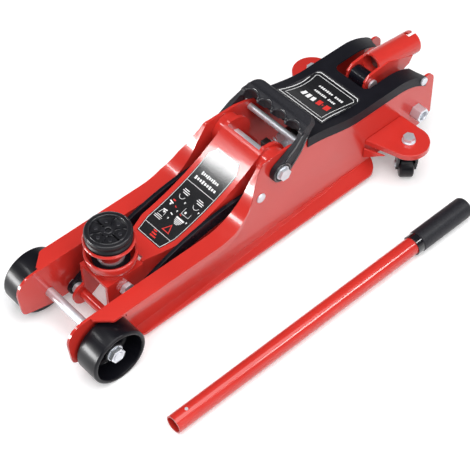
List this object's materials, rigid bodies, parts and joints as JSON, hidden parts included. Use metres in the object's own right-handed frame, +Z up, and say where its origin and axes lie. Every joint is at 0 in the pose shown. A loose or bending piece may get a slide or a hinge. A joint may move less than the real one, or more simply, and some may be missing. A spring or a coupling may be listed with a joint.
{
  "type": "hydraulic trolley jack",
  "caption": "Low trolley jack: a hydraulic ram swings a parallel-link lift arm to raise a swivelling saddle, with wheels, casters, a carry handle and a loose pump handle.",
  "frame": {"origin": "bottom centre of the bounding box, on the floor", "axes": "+X towards the saddle end along the jack, +Y towards its left, where the pump handle lies, +Z up"},
  "size_m": [0.6112, 0.3136, 0.1667],
  "materials": {
    "red_paint": "glossy enamel",
    "black_paint": "satin enamel",
    "zinc_steel": "bright zinc plate",
    "raw_steel": "dark machined",
    "black_plastic": "fine grained",
    "label_film": "glossy film",
    "rubber": "matt"
  },
  "bodies": {
    "frame": {"left_side_plate": "red_paint", "right_side_plate": "red_paint", "front_axle": "zinc_steel", "axle_nuts": "zinc_steel", "arm_pivot_shaft": "zinc_steel", "carry_handle_bolts": "zinc_steel", "link_rivets": "zinc_steel", "spacer_rod": "zinc_steel", "top_cover": "black_plastic", "cover_label": "label_film", "cover_screws": "zinc_steel", "pump_block": "black_paint", "ram_cylinder": "raw_steel", "cylinder_gland": "zinc_steel", "unit_bolts": "zinc_steel", "pump_gland": "zinc_steel", "filler_plug": "black_paint", "left_caster_bracket": "red_paint", "right_caster_bracket": "red_paint", "caster_bolts": "zinc_steel", "caster_bearings": "zinc_steel", "socket_pivot_screws": "zinc_steel", "return_springs": "zinc_steel"},
    "lift_arm": {"lift_arm": "red_paint", "arm_label": "label_film", "arm_bushes": "red_paint", "push_pin": "zinc_steel", "push_roller": "zinc_steel"},
    "link_bars": {"left_link": "black_paint", "right_link": "black_paint"},
    "saddle_yoke": {"saddle_yoke": "red_paint", "yoke_pivot_bolt": "zinc_steel", "link_cross_pin": "zinc_steel", "cross_tube": "red_paint", "saddle_bush": "black_plastic", "saddle_washer": "zinc_steel"},
    "saddle": {"saddle_cup": "red_paint", "saddle_pad": "rubber", "saddle_clip": "zinc_steel"},
    "ram": {"ram_rod": "zinc_steel", "ram_head": "raw_steel"},
    "plunger": {"pump_plunger": "zinc_steel"},
    "socket": {"handle_socket": "red_paint", "socket_roller": "zinc_steel", "roller_pin": "zinc_steel"},
    "release_dog": {"release_dog": "raw_steel"},
    "release_spindle": {"release_spindle": "zinc_steel"},
    "carry_handle": {"carry_handle": "black_plastic"},
    "left_wheel": {"left_front_wheel": "black_plastic"},
    "right_wheel": {"right_front_wheel": "black_plastic"},
    "left_caster": {"left_caster_fork": "black_paint", "left_caster_axle": "zinc_steel"},
    "right_caster": {"right_caster_fork": "black_paint", "right_caster_axle": "zinc_steel"},
    "left_caster_roll": {"left_caster_wheel": "black_plastic"},
    "right_caster_roll": {"right_caster_wheel": "black_plastic"},
    "pump_handle": {"handle_tube": "red_paint", "handle_collar": "black_plastic", "handle_grip": "rubber"},
    "handle_button": {"handle_button": "zinc_steel"}
  },
  "joints": [
    {"name": "arm_lift", "type": "hinge", "parent": "frame", "child": "lift_arm", "pos_m": [-0.0199, -0.04147, 0.122], "axis": [0, -1, 0], "range_deg": [0, 62]},
    {"name": "link_swing", "type": "hinge", "parent": "frame", "child": "link_bars", "pos_m": [0.0081, -0.04147, 0.091], "axis": [0, -1, 0], "range_deg": [0, 62]},
    {"name": "yoke_level", "type": "hinge", "parent": "lift_arm", "child": "saddle_yoke", "pos_m": [0.2021, -0.04147, 0.06], "axis": [0, -1, 0], "range_deg": [-62, 0]},
    {"name": "saddle_spin", "type": "hinge", "parent": "saddle_yoke", "child": "saddle", "pos_m": [0.2001, -0.04147, 0.097], "axis": [0, 0, 1], "continuous": true},
    {"name": "ram_stroke", "type": "slide", "parent": "frame", "child": "ram", "axis": [1, 0, 0], "range_m": [0, 0.0492]},
    {"name": "socket_pump", "type": "hinge", "parent": "frame", "child": "socket", "pos_m": [-0.2129, -0.04147, 0.114], "axis": [0, 1, 0], "range_deg": [0, 45]},
    {"name": "plunger_stroke", "type": "slide", "parent": "frame", "child": "plunger", "axis": [0, 0, 1], "range_m": [0, 0.0362]},
    {"name": "dog_turn", "type": "hinge", "parent": "socket", "child": "release_dog", "pos_m": [-0.24423, -0.04147, 0.12527], "axis": [0.9945, 0, 0.1045], "range_deg": [0, 180]},
    {"name": "spindle_turn", "type": "hinge", "parent": "frame", "child": "release_spindle", "pos_m": [-0.2129, -0.04147, 0.114], "axis": [1, 0, 0], "range_deg": [0, 180]},
    {"name": "carry_handle_swing", "type": "hinge", "parent": "frame", "child": "carry_handle", "pos_m": [-0.0199, -0.04147, 0.122], "axis": [0, 1, 0], "range_deg": [0, 48]},
    {"name": "left_wheel_roll", "type": "hinge", "parent": "frame", "child": "left_wheel", "pos_m": [0.2621, 0.02852, 0.0377], "axis": [0, 1, 0], "continuous": true},
    {"name": "right_wheel_roll", "type": "hinge", "parent": "frame", "child": "right_wheel", "pos_m": [0.2621, -0.11148, 0.0377], "axis": [0, 1, 0], "continuous": true},
    {"name": "left_caster_swivel", "type": "hinge", "parent": "frame", "child": "left_caster", "pos_m": [-0.2119, 0.04652, 0.052], "axis": [0, 0, 1], "continuous": true},
    {"name": "right_caster_swivel", "type": "hinge", "parent": "frame", "child": "right_caster", "pos_m": [-0.2119, -0.12948, 0.052], "axis": [0, 0, 1], "continuous": true},
    {"name": "left_caster_roll", "type": "hinge", "parent": "left_caster", "child": "left_caster_roll", "pos_m": [-0.21592, 0.04207, 0.018], "axis": [-0.7431, 0.6691, 0], "continuous": true},
    {"name": "right_caster_roll", "type": "hinge", "parent": "right_caster", "child": "right_caster_roll", "pos_m": [-0.21592, -0.12502, 0.018], "axis": [0.7431, 0.6691, 0], "continuous": true},
    {"name": "pump_handle_lift", "type": "slide", "parent": "frame", "child": "pump_handle", "axis": [0, 0, 1], "range_m": [0, 0.3]},
    {"name": "button_press", "type": "slide", "parent": "pump_handle", "child": "handle_button", "axis": [-0.0063, 0, -1], "range_m": [0, 0.003], "stiffness_N_per_m": 300, "springref_m": -0.002}
  ],
  "couplings": [
    {"joint": "link_swing", "follows": "arm_lift", "ratio": 1},
    {"joint": "yoke_level", "follows": "arm_lift", "ratio": -1},
    {"joint": "ram_stroke", "follows": "arm_lift", "m_per_rad": 0.0452},
    {"joint": "plunger_stroke", "follows": "socket_pump", "m_per_rad": 0.0458},
    {"joint": "spindle_turn", "follows": "dog_turn", "ratio": 1}
  ]
}
